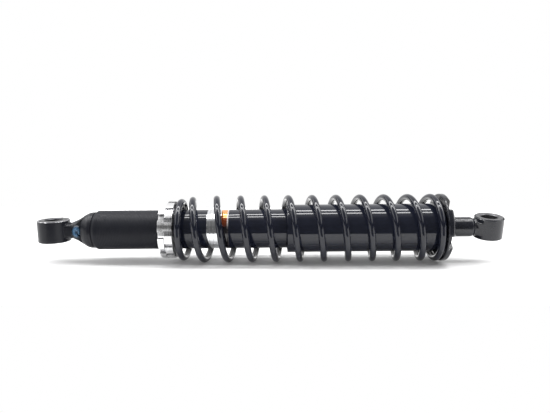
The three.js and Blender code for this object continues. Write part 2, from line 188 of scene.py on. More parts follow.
def forged_coat(name, neck_at, base=0.011, level=0.24):
    """Powder coat on a forging: satin on the turned faces, and shinier where it has pooled in the neck."""
    m = Nodes(name)
    cloud = m.noise(9, 4)
    along = m.axes()[0]
    from_neck = m.math("ABSOLUTE", m.math("SUBTRACT", along, neck_at * MM))
    shine = m.between(from_neck, 0.18, 0.31, 2.5 * MM, 5.5 * MM, smooth=True)
    m.set(
        Base_Color=m.mix(cloud, grey(base * 0.85, 0.4), grey(base * 1.2, 0.4)),
        Roughness=m.math("ADD", shine, m.between(cloud, -0.04, 0.05)),
        Specular_IOR_Level=level,
        Normal=m.bump(m.noise(0.6, 2), 0.03, m.bump(m.noise(2.4, 2), 0.08)),
    )
    return m.material


def gloss_black(name, base=0.012, shine=0.07, peel_size=2.5, peel=0.006):
    """Stoved enamel: a deep gloss with a faint long-wave orange peel and dust nibs."""
    m = Nodes(name)
    cloud = m.noise(14, 3)
    wave = m.noise(peel_size, 2)
    m.set(
        Base_Color=m.mix(cloud, grey(base * 0.85, 0.7), grey(base * 1.15, 0.7)),
        Roughness=m.between(m.noise(3.5, 3), shine - 0.02, shine + 0.03, 0.3, 0.7),
        Normal=m.bump(wave, peel),
    )
    return m.material


def turned_metal(name, colour, shine, groove=0.004, upright_at=None, streak=0.35):
    """Lathe-turned metal: fine rings round the axis, in the shine and in the surface.

    The axis is the shock's own, or with upright_at, one along Z at that x in millimetres.
    """
    m = Nodes(name)
    x, y, z = m.axes()
    if upright_at is None:
        along, across = x, m.distance_from(y, z)
    else:
        along, across = z, m.distance_from(m.math("SUBTRACT", x, upright_at * MM), y)
    ring = m.add("ShaderNodeCombineXYZ", {0: along, 1: across, 2: 0.0}).outputs[0]
    lines = m.noise(0.30, 3, ring, 0.7)
    smudge = m.noise(6, 4)
    shade = m.between(lines, 1 - streak, 1.0, 0.3, 0.7)
    darker = tuple(c * 0.62 for c in colour[:3]) + (1,)
    m.set(
        Base_Color=m.mix(m.math("MULTIPLY", shade, m.between(smudge, 0.85, 1.0)), darker, colour),
        Metallic=1.0,
        Roughness=m.between(lines, shine - 0.05, shine + 0.08, 0.3, 0.7),
        Normal=m.bump(lines, groove),
    )
    return m.material


def ring_metal(name, colour, shine=0.27, groove=0.005):
    """Metal turned with a coarse feed: its rings spread each reflection along the shock."""
    m = Nodes(name)
    x, y, z = m.axes()
    ring = m.add("ShaderNodeCombineXYZ", {0: x, 1: m.distance_from(y, z), 2: 0.0}).outputs[0]
    lines = m.noise(0.5, 3, ring, 0.6)
    nicks = m.between(m.noise(1.4, 5, None, 0.7), 0, 0.6, 0.62, 0.70)
    m.set(
        Base_Color=m.mix(nicks, colour, tuple(c * 0.6 for c in colour[:3]) + (1,)),
        Metallic=1.0,
        Roughness=m.between(lines, shine - 0.06, shine + 0.06, 0.3, 0.7),
        Anisotropic=1.0,
        Anisotropic_Rotation=0.25,
        Tangent=m.add("ShaderNodeTangent", direction_type="RADIAL", axis="X").outputs[0],
        Normal=m.bump(m.noise(2.2, 3), 0.012, m.bump(lines, groove)),
    )
    return m.material


def worn_rim(name):
    """A machined rim whose coat has chipped: bright metal showing through in patches."""
    m = Nodes(name)
    chips = m.between(m.noise(2.4, 4, None, 0.6), 0, 1, 0.44, 0.62)
    m.set(
        Base_Color=m.mix(chips, (0.09, 0.09, 0.10, 1), (0.50, 0.50, 0.51, 1)),
        Metallic=m.between(chips, 0.5, 1.0),
        Roughness=m.between(chips, 0.45, 0.28),
        Normal=m.bump(chips, 0.05),
    )
    return m.material


def rubber(name, base=0.012):
    """Moulded rubber: matt, with a fine bloom."""
    m = Nodes(name)
    bloom = m.noise(1.6, 4)
    m.set(
        Base_Color=m.mix(bloom, grey(base), grey(base * 2)),
        Roughness=m.between(bloom, 0.6, 0.8),
        Normal=m.bump(m.noise(0.4, 2), 0.02),
    )
    return m.material


def foam(name):
    """Cellular urethane of the bump stop: yellow, with open pores."""
    m = Nodes(name)
    cells = m.add("ShaderNodeTexVoronoi", {"Vector": m.place, "Scale": 1 / (0.9 * MM)}).outputs["Distance"]
    m.set(
        Base_Color=m.mix(m.between(cells, 0, 1, 0.0, 0.6), (0.42, 0.30, 0.04, 1), (0.72, 0.56, 0.12, 1)),
        Roughness=0.9,
        Normal=m.bump(cells, 0.15),
    )
    return m.material


def sealing_lacquer(name):
    """Blue lacquer brushed over a screw, with painted shade: dark in its hollows and paler where it stands
    proud, under a random tone.
    """
    m = Nodes(name)
    pool = m.noise(2.2, 4)
    out = m.axes()[1]
    # painted shade: the colour goes from dark down in the pit and slot to pale on the lacquer's top
    painted_shade_by_height = m.between(out, 0, 1, LACQUER_SHADE_LOW * MM, LACQUER_SHADE_HIGH * MM)
    height = m.math("MULTIPLY_ADD", pool, 0.35, m.math("MULTIPLY", painted_shade_by_height, 0.75))
    tone_and_painted_shade = m.between(height, 0, 1, 0.2, 0.9)
    m.set(
        Base_Color=m.mix(tone_and_painted_shade, (0.002, 0.008, 0.020, 1), (0.036, 0.112, 0.215, 1)),
        Roughness=m.between(pool, 0.30, 0.45),
        Normal=m.bump(m.noise(1.1, 3), 0.10),
        Coat_Weight=0.12,
        Coat_Roughness=0.2,
    )
    return m.material


def around(m):
    """The angle of a place round the shock, in turns: 0 at the front and a quarter at the top."""
    _, y, z = m.axes()
    angle = m.math("ARCTAN2", z, m.math("MULTIPLY", y, -1.0))
    return m.math("DIVIDE", angle, 2 * math.pi)


def silver_foil(name):
    """Silver label foil under clear film, with two columns of tiny plain dashes for print."""
    m = Nodes(name)
    along = m.axes()[0]
    angle = around(m)
    row = m.math("FRACT", m.math("MULTIPLY", angle, 2 * math.pi * TUBE_RADIUS / DASH_PITCH))
    dash = m.math("LESS_THAN", row, 0.5)
    strips = []
    for centre in PRINT_COLUMNS:
        offset = m.math("ABSOLUTE", m.math("SUBTRACT", along, centre * MM))
        strips.append(m.math("LESS_THAN", offset, DASH_HALF_WIDTH * MM))
    columns = m.math("MAXIMUM", *strips)
    print_area = m.math("GREATER_THAN", angle, PRINT_FROM)
    mark = m.math("MULTIPLY", m.math("MULTIPLY", dash, columns), print_area)
    crinkle = m.noise(5, 2)
    m.set(
        Base_Color=m.mix(m.math("MULTIPLY", mark, 0.5), (0.84, 0.85, 0.87, 1), (0.25, 0.25, 0.27, 1)),
        Metallic=m.math("SUBTRACT", 1.0, m.math("MULTIPLY", mark, 0.4)),
        Roughness=m.between(crinkle, 0.10, 0.17),
        Normal=m.bump(crinkle, 0.02),
    )
    return m.material


def orange_foil(name):
    """Orange foil print that ends in the label's black below the front; above that it is painted maroon on
    the front side as painted shade, and bright orange on top as a painted highlight.
    """
    m = Nodes(name)
    angle = around(m)
    fade = m.between(angle, 0, 1, *ORANGE_FADE, smooth=True)
    # painted highlight: the orange is painted brighter towards the top of the tube
    painted_highlight = m.between(angle, 0, 1, *ORANGE_PAINTED_HIGHLIGHT, smooth=True)
    # below the front, the label's black print; above it, maroon as painted shade
    lower = m.mix(fade, (0.008, 0.007, 0.009, 1), (0.32, 0.06, 0.012, 1))
    crinkle = m.noise(4, 2)
    m.set(
        Base_Color=m.mix(painted_highlight, lower, (0.95, 0.42, 0.13, 1)),
        Metallic=m.math("MULTIPLY", fade, 0.75),
        Roughness=m.between(crinkle, 0.10, 0.2),
        Normal=m.bump(crinkle, 0.015),
        Coat_Weight=0.6,
        Coat_Roughness=0.06,
    )
    return m.material


def white_print(name):
    """A thin white printed line that stops below the front of the label."""
    m = Nodes(name)
    ink = m.between(around(m), 0, 1, *WHITE_FADE, smooth=True)
    speck = m.noise(0.8, 3)
    white = m.mix(speck, (0.62, 0.55, 0.53, 1), (0.8, 0.74, 0.72, 1))
    m.set(
        Base_Color=m.mix(ink, (0.02, 0.016, 0.018, 1), white),
        Roughness=0.25,
        Normal=m.bump(speck, 0.004),
        Coat_Weight=0.6,
        Coat_Roughness=0.06,
    )
    return m.material


MATERIALS = {
    "coat": satin_black("satin_black_coat", 0.012, level=0.18),
    "thread_coat": satin_black("satin_black_thread", 0.011, level=0.16),
    "cast_coat": forged_coat("cast_eye_coat", NECK_X),
    "seat_coat": satin_black("seat_black_coat", 0.013, 0.17, 0.06, 1.8, 0.5),
    "enamel": gloss_black("spring_enamel"),
    "cover_gloss": gloss_black("cover_gloss", 0.016, 0.05, 6, 0.0015),
    "label_black": gloss_black("label_black_film", 0.016, 0.05, 9, 0.0015),
    "bright": ring_metal("bright_machined_metal", (0.90, 0.90, 0.91, 1)),
    # a darker copy of the bright metal, used as painted shade in the rings' notches and between the rings
    "notch_shade": ring_metal("darker_metal_for_painted_shade", (0.36, 0.36, 0.37, 1)),
    "washer_steel": ring_metal("washer_steel", (0.10, 0.10, 0.105, 1)),
    "bush_upper": turned_metal("upper_bush_steel", (0.07, 0.07, 0.075, 1), 0.30, 0.006, 0.0),
    "bush_lower": turned_metal("lower_bush_steel", (0.15, 0.15, 0.157, 1), 0.42, 0.006, LOWER_EYE_X),
    "faced": worn_rim("faced_rim"),
    "steel": turned_metal("plain_steel", (0.5, 0.5, 0.52, 1), 0.3),
    "aluminium": turned_metal("machined_aluminium", (0.75, 0.76, 0.78, 1), 0.32),
    "bronze": turned_metal("sintered_bronze", (0.60, 0.36, 0.14, 1), 0.4),
    "chrome": turned_metal("hard_chrome", (0.85, 0.86, 0.88, 1), 0.06, 0.0006, streak=0.05),
    "rubber": rubber("moulded_rubber"),
    "foam": foam("bump_stop_foam"),
    "lacquer": sealing_lacquer("blue_lacquer_painted_shade"),
    "silver": silver_foil("silver_label_foil"),
    "orange": orange_foil("orange_label_foil"),
    "white": white_print("white_label_print"),
}


# ---------------------------------------------------------------- mesh tools

SHARP = 35               # edges sharper than this many degrees stay sharp


def piece(name, points, faces, material, sharp=SHARP):
    """A mesh object from points in millimetres."""
    mesh = bpy.data.meshes.new(name)
    mesh.from_pydata([Vector(p) * MM for p in points], [], faces)
    mesh.validate()
    shell = bmesh.new()
    shell.from_mesh(mesh)
    bmesh.ops.recalc_face_normals(shell, faces=shell.faces)
    shell.to_mesh(mesh)
    shell.free()
    smooth(mesh, sharp)
    obj = bpy.data.objects.new(name, mesh)
    bpy.context.scene.collection.objects.link(obj)
    mesh.materials.append(MATERIALS[material])
    return obj


def smooth(mesh, sharp=SHARP):
    """Smooth shading, apart from edges sharper than that many degrees."""
    mesh.polygons.foreach_set("use_smooth", [True] * len(mesh.polygons))
    mesh.set_sharp_from_angle(angle=math.radians(sharp))


def place_on(obj, body, slot, *nodes):
    """The piece stands for those CAD nodes and moves with the body."""
    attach(obj, body)
    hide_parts(*nodes)
    return obj


def eased(share):
    """A share held between 0 and 1, with a soft start and end."""
    share = min(1.0, max(0.0, share))
    return share * share * (3 - 2 * share)


def rounded(corners, steps=4):
    """A closed outline from (x, radius, rounding) corners, with each corner turned into a curve."""
    line = []
    count = len(corners)
    for i, (x, r, rounding) in enumerate(corners):
        here = Vector((x, r))
        before = Vector(corners[i - 1][:2]) - here
        after = Vector(corners[(i + 1) % count][:2]) - here
        reach = min(rounding, before.length * 0.49, after.length * 0.49)
        if reach < 1e-4:
            line.append(here)
            continue
        first = here + before.normalized() * reach
        last = here + after.normalized() * reach
        for k in range(steps + 1):
            t = k / steps
            line.append(first * (1 - t) ** 2 + here * (2 * t * (1 - t)) + last * t ** 2)
    return line


def even_angles(count):
    """That many angles, evenly spaced over a whole turn."""
    return [2 * math.pi * i / count for i in range(count)]


def lathe(name, outline, material, angles=None, shape=None, sharp=SHARP):
    """A ring turned about X from a closed outline of (x, radius) points.

    Angles are counted from the front upwards. shape(x, radius, angle) may change the radius.
    """
    angles = angles or even_angles(144)
    points = []
    for angle in angles:
        across, up = -math.cos(angle), math.sin(angle)
        for x, radius in outline:
            r = shape(x, radius, angle) if shape else radius
            points.append((x, r * across, r * up))
    rows = len(outline)
    faces = []
    for i in range(len(angles)):
        here, there = i * rows, ((i + 1) % len(angles)) * rows
        for j in range(rows):
            k = (j + 1) % rows
            faces.append((here + j, here + k, there + k, there + j))
    return piece(name, points, faces, material, sharp)


def spin_solid(outline, angles=72):
    """Points and faces of a solid turned about X, whose outline starts and ends on the axis."""
    inner = outline[1:-1]
    points = [(outline[0][0], 0, 0), (outline[-1][0], 0, 0)]
    for angle in even_angles(angles):
        points += [(x, -r * math.cos(angle), r * math.sin(angle)) for x, r in inner]
    rows = len(inner)
    faces = []
    for i in range(angles):
        here, there = 2 + i * rows, 2 + ((i + 1) % angles) * rows
        faces.append((0, here, there))
        faces.append((1, there + rows - 1, here + rows - 1))
        faces += [(here + j, here + j + 1, there + j + 1, there + j) for j in range(rows - 1)]
    return points, faces


def turn_upright(points):
    """Points turned about X become turned about Z."""
    return [(-z, y, x) for x, y, z in points]


def box_solid(low, high):
    """Points and faces of a box."""
    points = [(x, y, z) for x in (low[0], high[0]) for y in (low[1], high[1]) for z in (low[2], high[2])]
    faces = [(0, 1, 3, 2), (4, 6, 7, 5), (0, 4, 5, 1), (2, 3, 7, 6), (0, 2, 6, 4), (1, 5, 7, 3)]
    return points, faces


def bevelled_bar(start, end, half_depth, half_height, bevel):
    """Points and faces of a bar along X, with its four long edges bevelled."""
    y, z = half_depth, half_height
    section = [
        (-y, bevel - z), (bevel - y, -z), (y - bevel, -z), (y, bevel - z),
        (y, z - bevel), (y - bevel, z), (bevel - y, z), (-y, z - bevel),
    ]
    points = [(x, *corner) for x in (start, end) for corner in section]
    faces = [tuple(range(8)), tuple(range(15, 7, -1))]
    faces += [(i, (i + 1) % 8, (i + 1) % 8 + 8, i + 8) for i in range(8)]
    return points, faces


def joined(name, solids, material):
    """One object from several lists of points and faces."""
    points, faces = [], []
    for some_points, some_faces in solids:
        start = len(points)
        points += some_points
        faces += [tuple(start + i for i in face) for face in some_faces]
    return piece(name, points, faces, material)


def apply_modifiers(obj):
    """The object's mesh becomes what its modifiers make of it."""
    depsgraph = bpy.context.evaluated_depsgraph_get()
    mesh = bpy.data.meshes.new_from_object(obj.evaluated_get(depsgraph))
    obj.modifiers.clear()
    obj.data = mesh


def cut(obj, *solids):
    """Cuts solids, as points and faces, out of an object."""
    for i, (points, faces) in enumerate(solids):
        cutter = piece(f"cutter_{i}", points, faces, "coat")
        modifier = obj.modifiers.new("cut", "BOOLEAN")
        modifier.operation = "DIFFERENCE"
        modifier.solver = "EXACT"
        modifier.object = cutter
        apply_modifiers(obj)
        bpy.data.objects.remove(cutter)


def fused(obj, voxel, rounds):
    """Fuses overlapping solids into one skin and softens their corners, as in a forging."""
    remesh = obj.modifiers.new("fuse", "REMESH")
    remesh.mode = "VOXEL"
    remesh.voxel_size = voxel * MM
    soften = obj.modifiers.new("soften", "SMOOTH")
    soften.factor = 0.5
    soften.iterations = rounds
    apply_modifiers(obj)


# ---------------------------------------------------------------- camera

LENS = 30.76
CAMERA_AT = Vector((220.6, -461.1, 91.1)) * MM
CAMERA_PITCH = math.radians(-8.5)
CAMERA_ROLL = math.radians(-0.5)


def make_camera():
    data = bpy.data.cameras.new("camera")
    data.lens = LENS
    data.sensor_width = 36
    data.clip_start = 0.01
    data.clip_end = 50
    camera = bpy.data.objects.new("camera", data)
    turn = Matrix.Rotation(math.radians(90) + CAMERA_PITCH, 4, "X") @ Matrix.Rotation(CAMERA_ROLL, 4, "Z")
    camera.matrix_world = Matrix.Translation(CAMERA_AT) @ turn
    bpy.context.scene.collection.objects.link(camera)
    bpy.context.scene.camera = camera


make_camera()


# ---------------------------------------------------------------- floor, lights and surroundings

FLOOR_Z = -33.8          # under FLOOR_MIDDLE_X; the shock lies a little tipped on its floor
FLOOR_MIDDLE_X = 273
FLOOR_SLOPE = -0.0087
FLOOR_FRONT = -125
FLOOR_BACK = 360
FLOOR_SIDE = 1400
FLOOR_GLOW = 0.05


def make_floor():
    m = Nodes("floor_paper")
    fibres = m.noise(3, 4)
    m.set(
        Base_Color=m.mix(fibres, (0.86, 0.86, 0.86, 1), (0.89, 0.89, 0.89, 1)),
        Roughness=0.9,
        Specular_IOR_Level=0.1,
        Emission_Color=(1, 1, 1, 1),
        Emission_Strength=FLOOR_GLOW,
    )
    mesh = bpy.data.meshes.new("floor")
    left, right = FLOOR_MIDDLE_X - FLOOR_SIDE, FLOOR_MIDDLE_X + FLOOR_SIDE
    low, high = FLOOR_Z + FLOOR_SLOPE * FLOOR_SIDE, FLOOR_Z - FLOOR_SLOPE * FLOOR_SIDE
    corners = [
        (left, FLOOR_FRONT, high),
        (right, FLOOR_FRONT, low),
        (right, FLOOR_BACK, low),
        (left, FLOOR_BACK, high),
    ]
    mesh.from_pydata([Vector(c) * MM for c in corners], [], [(0, 1, 2, 3)])
    floor = bpy.data.objects.new("floor", mesh)
    mesh.materials.append(m.material)
    bpy.context.scene.collection.objects.link(floor)


# Stops of the surroundings' brightness: by angle in the middle, and by height off to either side.
MIDDLE_LEVELS = [(-180, 0.9), (-60, 0.12), (10, 0.12), (22, 0.10), (30, 0.14), (58, 0.16), (72, 0.65)]
MIDDLE_LEVELS += [(95, 0.75), (118, 1.0), (180, 1.0)]
SIDE_LEVELS = [(-1, 1.5), (0.14, 1.6), (0.17, 0.03), (0.38, 0.03), (0.41, 2.1), (1, 2.1)]
SIDE_FROM, SIDE_TO = 0.42, 0.62      # how far sideways the middle gives way to the sides
STRIP_X = 0.22                       # the strip lights hang over the middle of the shock


def make_strip_light(name, tilt, width, power, distance=1.1, length=2.6):
    """A long strip light along X, in metres. tilt is in degrees behind straight overhead."""
    data = bpy.data.lights.new(name, "AREA")
    data.shape = "RECTANGLE"
    data.size = length
    data.size_y = 2 * distance * math.tan(math.radians(width / 2))
    data.energy = power * data.size * data.size_y * math.pi
    light = bpy.data.objects.new(name, data)
    angle = math.radians(tilt)
    at = Vector((STRIP_X, distance * math.sin(angle), distance * math.cos(angle)))
    light.matrix_world = Matrix.Translation(at) @ Matrix.Rotation(-angle, 4, "X")
    light.visible_camera = False
    bpy.context.scene.collection.objects.link(light)


def make_world():
    """A white room for the camera; for the rest, bright all round but for a dark gap in front.

    The front's brightness goes by the angle in degrees from the front horizon (0) over the top (90)
    to the back (180). Off to either side it goes by height, with a dark band above the horizon.
    """
    world = bpy.data.worlds.new("studio")
    bpy.context.scene.world = world
    world.use_nodes = True
    tree = world.node_tree
    tree.nodes.clear()
    link = tree.links.new

    def add(kind, **settings):
        node = tree.nodes.new(kind)
        for key, value in settings.items():
            setattr(node, key, value)
        return node

    def ramp(value, low, high, stops):
        """A grey level that follows value, from (value, level) stops between low and high."""
        share = add("ShaderNodeMapRange")
        share.inputs["From Min"].default_value = low
        share.inputs["From Max"].default_value = high
        colours = add("ShaderNodeValToRGB")
        elements = colours.color_ramp.elements
        elements.remove(elements[1])
        for i, (at, level) in enumerate(stops):
            position = (at - low) / (high - low)
            element = elements[0] if i == 0 else elements.new(position)
            element.position = position
            element.color = (level, level, level, 1)
        link(value, share.inputs["Value"])
        link(share.outputs["Result"], colours.inputs["Fac"])
        return colours.outputs["Color"]

    direction = add("ShaderNodeTexCoord")
    split = add("ShaderNodeSeparateXYZ")
    link(direction.outputs["Generated"], split.inputs[0])
    forward = add("ShaderNodeMath", operation="MULTIPLY")
    forward.inputs[1].default_value = -1.0
    link(split.outputs["Y"], forward.inputs[0])
    radians = add("ShaderNodeMath", operation="ARCTAN2")
    link(split.outputs["Z"], radians.inputs[0])
    link(forward.outputs[0], radians.inputs[1])
    degrees = add("ShaderNodeMath", operation="MULTIPLY")
    degrees.inputs[1].default_value = 180 / math.pi
    link(radians.outputs[0], degrees.inputs[0])
    middle = ramp(degrees.outputs[0], -180, 180, MIDDLE_LEVELS)
    side = ramp(split.outputs["Z"], -1, 1, SIDE_LEVELS)
    sideways = add("ShaderNodeMath", operation="ABSOLUTE")
    link(split.outputs["X"], sideways.inputs[0])
    to_side = add("ShaderNodeMapRange", interpolation_type="SMOOTHSTEP")
    to_side.inputs["From Min"].default_value = SIDE_FROM
    to_side.inputs["From Max"].default_value = SIDE_TO
    link(sideways.outputs[0], to_side.inputs["Value"])
    both = add("ShaderNodeMix", data_type="RGBA")
    link(to_side.outputs["Result"], both.inputs[0])
    link(middle, both.inputs[6])
    link(side, both.inputs[7])

    room = add("ShaderNodeBackground")
    link(both.outputs[2], room.inputs["Color"])
    seen = add("ShaderNodeBackground")
    seen.inputs["Color"].default_value = (1, 1, 1, 1)
    ray = add("ShaderNodeLightPath")
    choose = add("ShaderNodeMixShader")
    out = add("ShaderNodeOutputWorld")
    link(ray.outputs["Is Camera Ray"], choose.inputs[0])
    link(room.outputs[0], choose.inputs[1])
    link(seen.outputs[0], choose.inputs[2])
    link(choose.outputs[0], out.inputs["Surface"])


make_floor()
make_strip_light("strip_in_front", tilt=-5.5, width=6.5, power=11.5)
make_strip_light("strip_behind", tilt=12.5, width=6.5, power=13)
make_world()
bpy.context.scene.view_settings.view_transform = "Standard"
bpy.context.scene.view_settings.look = "None"


# ---------------------------------------------------------------- coil spring

WIRE_RADIUS = 3.15
MEAN_RADIUS = span("main_spring", 1)[1] - WIRE_RADIUS
FIRST_RADIUS = 27.2
TURNS = 11.867
START_ANGLE = math.radians(161.1)
FIRST_CLOSED, LAST_CLOSED = 0.31, 0.17
OPENING_TURNS, CLOSED_PITCH = 0.9, 2.0
FLARE_TURNS = 1.9
GROUND = 0.35            # how much of the wire is ground away at each end of the spring
WIRE_TIP = [(0.0, 0.72), (0.35, 0.90), (0.9, 1.0)]    # (distance from the wire's end, share of its radius)
WIRE_START = SPRING_LOW + WIRE_RADIUS
WIRE_END = SPRING_HIGH - WIRE_RADIUS
OPEN_TURNS = TURNS - FIRST_CLOSED - LAST_CLOSED - OPENING_TURNS
OPENING = (WIRE_END - WIRE_START - CLOSED_PITCH * TURNS) / OPEN_TURNS    # extra pitch of the open coils


def travel(turn, closed):
    """How far the wire has gone along the shock, that many turns from an end of the spring."""
    share = min(1.0, max(0.0, (turn - closed) / OPENING_TURNS))
    past = max(0.0, turn - closed - OPENING_TURNS)
    return CLOSED_PITCH * turn + OPENING * (OPENING_TURNS * (share ** 3 - share ** 4 / 2) + past)


def wire_centre(turn):
    """A point of the spring's centre line."""
    if turn < TURNS / 2:
        x = WIRE_START + travel(turn, FIRST_CLOSED)
    else:
        x = WIRE_END - travel(TURNS - turn, LAST_CLOSED)
    radius = FIRST_RADIUS + (MEAN_RADIUS - FIRST_RADIUS) * eased(turn / FLARE_TURNS)
    angle = START_ANGLE - 2 * math.pi * turn
    return Vector((x, -radius * math.cos(angle), radius * math.sin(angle)))


def wire_length(steps_per_turn=100):
    """The length of the spring's centre line."""
    places = [wire_centre(i / steps_per_turn) for i in range(round(TURNS * steps_per_turn) + 1)]
    return sum((after - before).length for before, after in zip(places, places[1:]))


def wire_section(turn, scale, sides):
    """The round section of the wire at a point of its length, with the spring's ends ground flat."""
    reach = 0.002
    lowest, highest = SPRING_LOW + GROUND, SPRING_HIGH - GROUND
    centre = wire_centre(turn)
    ahead = (wire_centre(min(TURNS, turn + reach)) - wire_centre(max(0, turn - reach))).normalized()
    out = Vector((0, centre.y, centre.z)).normalized()
    out = (out - ahead * out.dot(ahead)).normalized()
    side = ahead.cross(out)
    section = []
    for angle in even_angles(sides):
        point = centre + (out * math.cos(angle) + side * math.sin(angle)) * WIRE_RADIUS * scale
        point.x = min(highest, max(lowest, point.x))
        section.append(point)
    return section


def make_spring(steps_per_turn=72, sides=24):
    steps = round(TURNS * steps_per_turn)
    turn_per_mm = TURNS / wire_length()
    turns = [(distance * turn_per_mm, scale) for distance, scale in WIRE_TIP]
    turns += [(TURNS * i / steps, 1.0) for i in range(2, steps - 1)]
    turns += [(TURNS - distance * turn_per_mm, scale) for distance, scale in reversed(WIRE_TIP)]
    points, faces = [], []
    for turn, scale in turns:
        points += wire_section(turn, scale, sides)
    for i in range(len(turns) - 1):
        for k in range(sides):
            n = (k + 1) % sides
            faces.append((i * sides + k, i * sides + n, (i + 1) * sides + n, (i + 1) * sides + k))
    faces.append(tuple(range(sides)))
    faces.append(tuple(reversed(range((len(turns) - 1) * sides, len(turns) * sides))))
    spring = piece("coil_spring", points, faces, "enamel", 50)
    place_on(spring, "damper_body", "gloss_black", "main_spring")
    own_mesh(spring)


make_spring()


# ---------------------------------------------------------------- damper tube and label

THREAD_PITCH = 1.5
THREAD_DEPTH = 0.2
THREAD_FROM, THREAD_TO = 47.5, 126.0
BORE = 16.0
CHAMFER_LENGTH, CHAMFER_DEPTH = 3.3, 2.0
LABEL_START = 154.4
UNDER_LABEL = TUBE_RADIUS - 0.55    # the tube is turned down where the label's bands lie
LABEL_BACK = TUBE_RADIUS - 0.5
LABEL_LAP = 0.14                    # each band reaches this far past its CAD node, to its neighbour


def thread(x, radius, angle):
    """The tube's outside, with a rounded thread that runs out at both ends."""
    if radius < TUBE_RADIUS - 0.01 or not THREAD_FROM < x < THREAD_TO:
        return radius
    runout = min(1.0, (x - THREAD_FROM) / 2, (THREAD_TO - x) / 2)
    phase = x / THREAD_PITCH - angle / (2 * math.pi)
    wave = 0.5 - 0.5 * math.cos(2 * math.pi * phase)
    return radius - THREAD_DEPTH * runout * wave ** 2


def make_tube(steps_per_thread=8):
    steps = round((THREAD_TO - THREAD_FROM) / THREAD_PITCH * steps_per_thread)
    chamfer_end = TUBE_START + CHAMFER_LENGTH
    corners = [
        (TUBE_START, BORE),
        (TUBE_START, TUBE_RADIUS - CHAMFER_DEPTH - 0.15),
        (TUBE_START + 0.15, TUBE_RADIUS - CHAMFER_DEPTH),
        (chamfer_end - 0.25, TUBE_RADIUS - 0.12),
        (chamfer_end, TUBE_RADIUS - 0.03),
        (chamfer_end + 0.3, TUBE_RADIUS),
    ]
    corners += [
        (THREAD_FROM + (THREAD_TO - THREAD_FROM) * i / steps, TUBE_RADIUS)
        for i in range(steps + 1)
    ]
    corners += [
        (LABEL_START, TUBE_RADIUS),
        (LABEL_START, UNDER_LABEL),
        (TUBE_END - 0.3, UNDER_LABEL),
        (TUBE_END, UNDER_LABEL - 0.3),
        (TUBE_END, BORE),
    ]
    outline = [Vector(corner) for corner in corners]
    tube = lathe("damper_body_tube", outline, "thread_coat", even_angles(96), thread, 30)
    tube.data.materials.append(MATERIALS["cover_gloss"])
    smooth_from = THREAD_TO * MM
    for face in tube.data.polygons:
        if face.center.x > smooth_from:
            face.material_index = 1
    place_on(tube, "damper_body", "satin_black", "damper_tube")


def make_label(name, node, material, slot):
    """A band of the label, laid on the tube, with soft edges."""
    start, end = span(node)
    start -= LABEL_LAP
    end += LABEL_LAP
    outline = rounded([
        (start, LABEL_BACK, 0),
        (start, TUBE_RADIUS, 0.05),
        (end, TUBE_RADIUS, 0.05),
        (end, LABEL_BACK, 0),
    ], 2)
    place_on(lathe(name, outline, material), "damper_body", slot, node)


make_tube()
make_label("label_silver", "silver_label_band", "silver", "silver_foil")
make_label("label_orange", "orange_label_band", "orange", "orange_foil")
make_label("label_white_line", "white_label_stripe", "white", "white_print")
make_label("label_black", "black_label_wrap", "label_black", "black_film")


# ---------------------------------------------------------------- preload rings and thrust washer

def notch_angles(rim, fine=(-0.9, -0.45, 0.0, 0.45, 0.9), coarse=4.0):
    """Angles for a lathe: close together at the walls of the notches, and wide apart between."""
    walls = []
    for first, last in rim:
        walls += [first, last]
    degrees = [coarse * i for i in range(round(360 / coarse))]
    degrees = [d for d in degrees if all(abs((d - w + 180) % 360 - 180) > 1.4 for w in walls)]
    degrees += [(w + f) % 360 for w in walls for f in fine]
    return [math.radians(d) for d in sorted(set(round(d, 4) for d in degrees))]


def inside(angle, first, last, soft=0.5):
    """1 between two angles in degrees, 0 outside them, with a short slope at each."""
    middle, half = (first + last) / 2, (last - first) / 2
    away = abs((math.degrees(angle) - middle + 180) % 360 - 180)
    return eased((half + soft - away) / (2 * soft))


def notched_shape(notches, rim_radius, rim_depth=1.2):
    """A shape for lathe: notches of (first angle, last angle, floor radius) in a rim."""
    def shape(x, radius, angle):
        if radius < rim_radius - rim_depth:
            return radius
        drops = [(rim_radius - floor) * inside(angle, first, last) for first, last, floor in notches]
        return radius - max(drops)
    return shape


def spaced(count, first, width, floor):
    """Evenly spaced notches, the first centred at that angle in degrees."""
    return [
        (first - width / 2 + 360 / count * i, first + width / 2 + 360 / count * i, floor)
        for i in range(count)
    ]


RING_BORE = TUBE_RADIUS + 0.12
LOCK_RADIUS, LOCK_NOTCH = 28.5, 25.8
LOCK_NOTCHES, LOCK_FIRST, LOCK_WIDTH = 10, -0.9, 12.3
LOCK_PLAIN = (45, 150)               # no ordinary notch here, on either side of the relief
LOCK_RELIEF = (59.1, 143.1, 21.2)
COLLAR_RADIUS, COLLAR_NOTCH = 28.4, 26.6
COLLAR_NOTCHES, COLLAR_FIRST, COLLAR_WIDTH = 14, 3.5, 8
COLLAR_END = 122.9
SPIGOT_RADIUS = 22.2


def out_of_round(face):
    """How far a face turns from pointing straight out of the shock: nearly 0 on a rim, 1 on a wall."""
    out = face.center.yz.normalized()
    return abs(face.normal.y * out.y - face.normal.z * out.x)


def paint_notch_shade(ring, chosen):
    """Paints shade on the chosen faces of a ring by giving them a darker copy of its metal."""
    ring.data.materials.append(MATERIALS["notch_shade"])
    for face in ring.data.polygons:
        if chosen(face):
            face.material_index = 1


